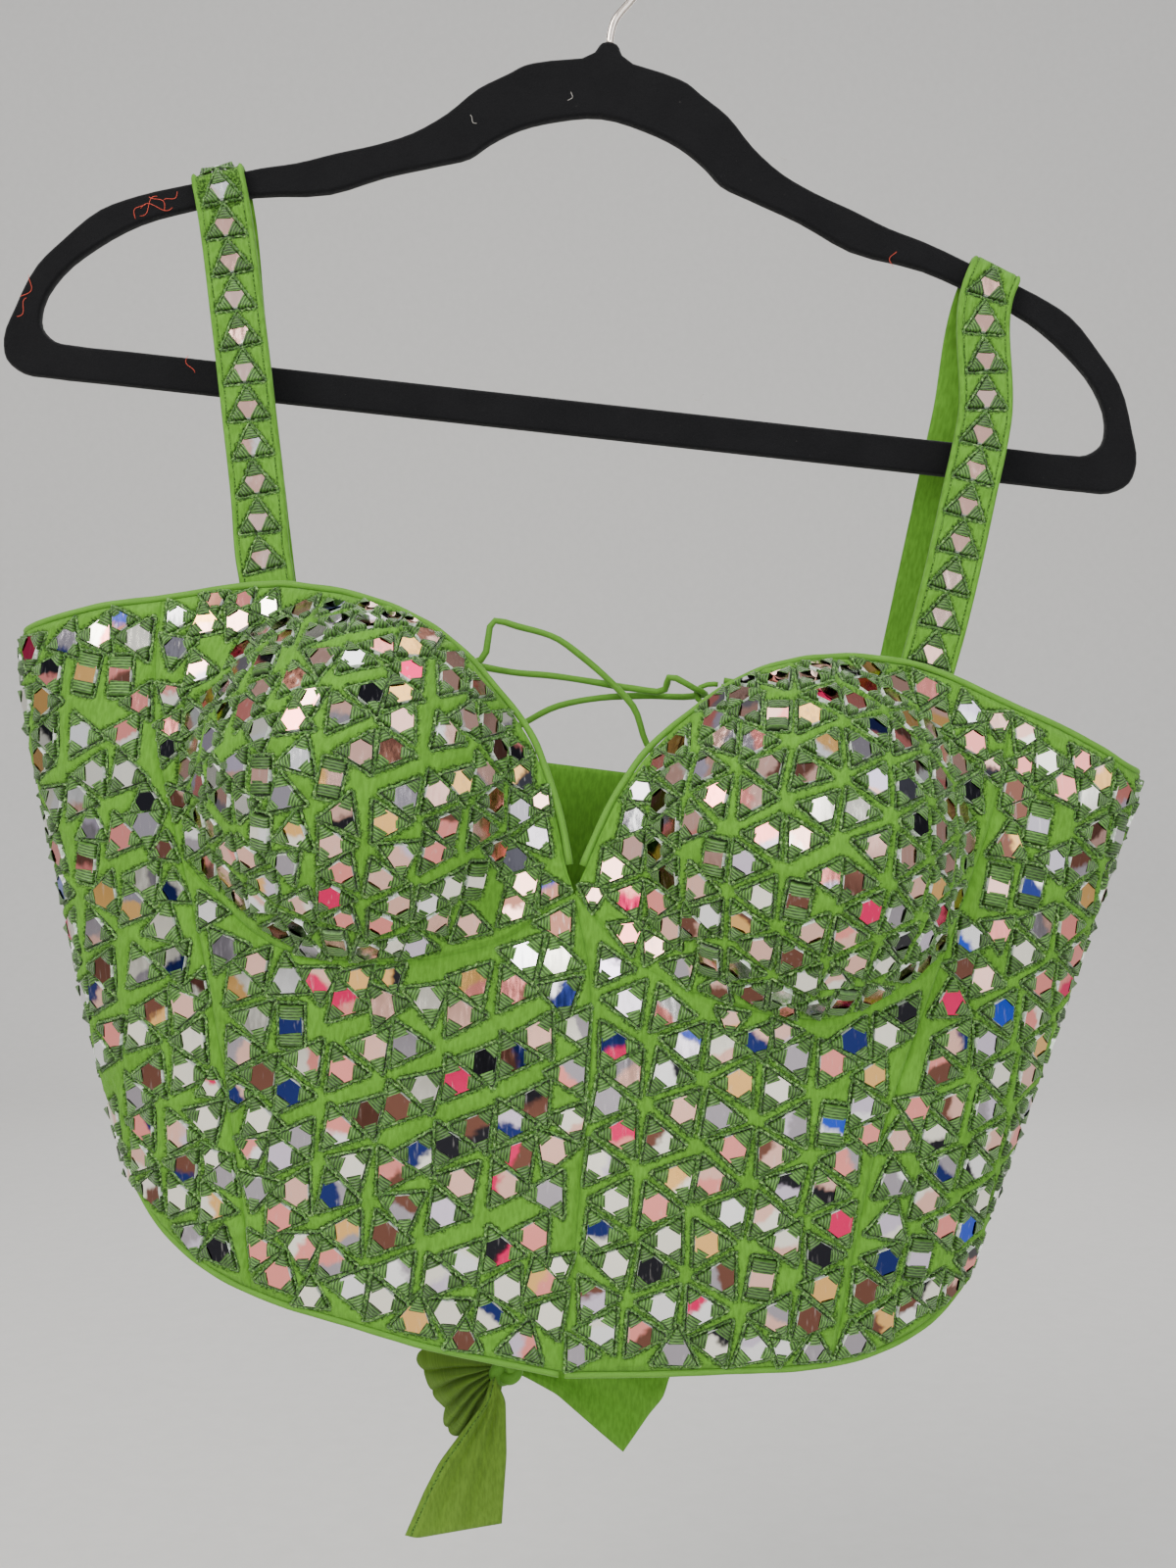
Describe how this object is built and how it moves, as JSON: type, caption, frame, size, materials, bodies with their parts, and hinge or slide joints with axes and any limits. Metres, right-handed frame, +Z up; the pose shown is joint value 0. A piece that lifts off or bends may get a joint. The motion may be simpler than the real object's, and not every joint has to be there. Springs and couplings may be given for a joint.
{
  "type": "corset blouse on hanger",
  "caption": "Sleeveless padded corset blouse with mirror work, piped edges, a lace-up back and fabric ties, hung by its straps on a flocked hanger with a wire hook.",
  "frame": {"origin": "where the rail touches the inside of the hook, at its top", "axes": "+Z up against gravity, as it hangs; +X to the right as seen from the front; +Y from the front to the laced back"},
  "size_m": [0.442, 0.1466, 0.6674],
  "materials": {
    "mirror_work_cloth": "green cloth with satin-stitched mirrors in dark knotted rings",
    "plain_cloth": "plain green cloth with a soft sheen",
    "piping_cloth": "green cloth rolled into piping, loops and cord",
    "black_flocking": "matt black velvet flocking over a moulded frame",
    "polished_wire": "polished steel wire"
  },
  "bodies": {
    "root": {"back_left": "plain_cloth", "back_piping_hem_left": "piping_cloth", "back_piping_hem_right": "piping_cloth", "back_piping_top_left": "piping_cloth", "back_piping_top_right": "piping_cloth", "back_right": "plain_cloth", "cup_left": "mirror_work_cloth", "cup_right": "mirror_work_cloth", "front_left": "mirror_work_cloth", "front_right": "mirror_work_cloth", "hanger_body": "black_flocking", "hanger_hook": "polished_wire", "hem_piping_front_left": "piping_cloth", "hem_piping_front_right": "piping_cloth", "lace_a": "piping_cloth", "lace_b": "piping_cloth", "lacing_loops_left": "piping_cloth", "lacing_loops_right": "piping_cloth", "modesty_panel": "plain_cloth", "neck_piping_left": "piping_cloth", "neck_piping_right": "piping_cloth", "side_left": "mirror_work_cloth", "side_right": "mirror_work_cloth", "strap_left": "mirror_work_cloth", "strap_right": "mirror_work_cloth", "tie_knot": "plain_cloth", "tie_rosette": "plain_cloth", "tie_tail_long": "plain_cloth", "tie_tail_wide": "plain_cloth"}
  },
  "joints": []
}
